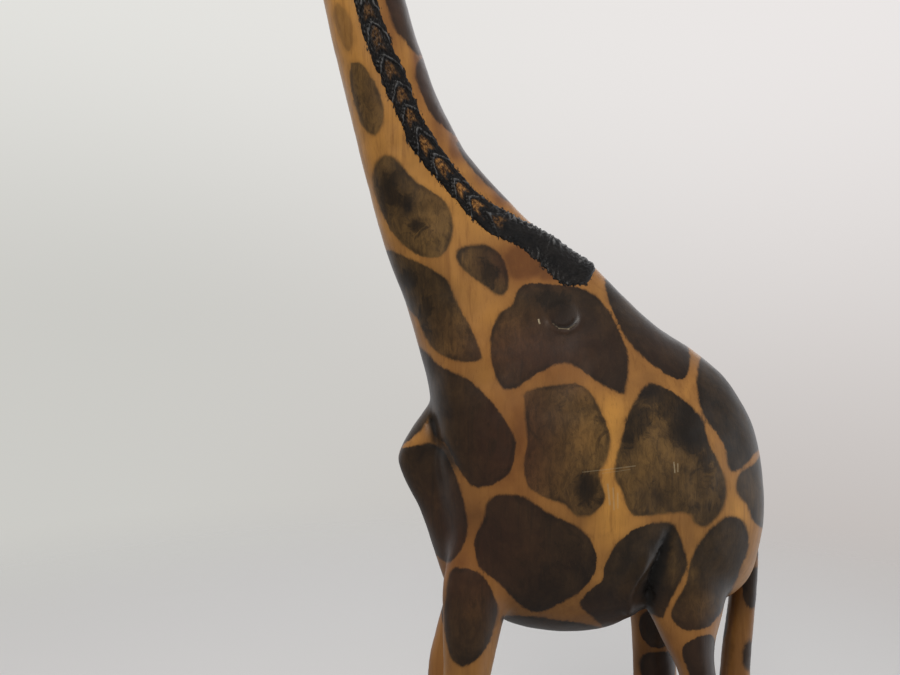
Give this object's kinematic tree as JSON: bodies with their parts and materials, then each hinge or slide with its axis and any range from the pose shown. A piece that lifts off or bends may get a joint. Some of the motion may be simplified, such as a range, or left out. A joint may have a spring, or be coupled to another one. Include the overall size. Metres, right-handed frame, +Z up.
{
  "type": "carved wooden giraffe statue",
  "caption": "Free-standing carved wooden giraffe, head turned to one side, with dowelled legs and tail and inserted ears, horns and eyes.",
  "frame": {"origin": "on the ground, below the centre of the statue's outer box", "axes": "+Z up; the giraffe faces -X; its left side is -Y and its head is turned towards +Y"},
  "size_m": [0.3642, 0.124, 1],
  "materials": {
    "wood": "waxed, with scorched dark patches",
    "bare_wood": "bare",
    "horn_wood": "waxed black",
    "eye": "glossy",
    "plug_wood": "waxed, scorched"
  },
  "bodies": {
    "root": {"trunk": "wood", "leg_fore_left": "wood", "leg_fore_right": "wood", "leg_hind_left": "wood", "leg_hind_right": "wood", "dowel_fore_left": "bare_wood", "dowel_fore_right": "bare_wood", "dowel_hind_left": "bare_wood", "dowel_hind_right": "bare_wood", "tail": "wood", "tail_dowel": "bare_wood", "ear_left": "wood", "ear_right": "wood", "horn_left": "horn_wood", "horn_right": "horn_wood", "eye_left": "eye", "eye_right": "eye", "knot_plug": "plug_wood"}
  },
  "joints": []
}
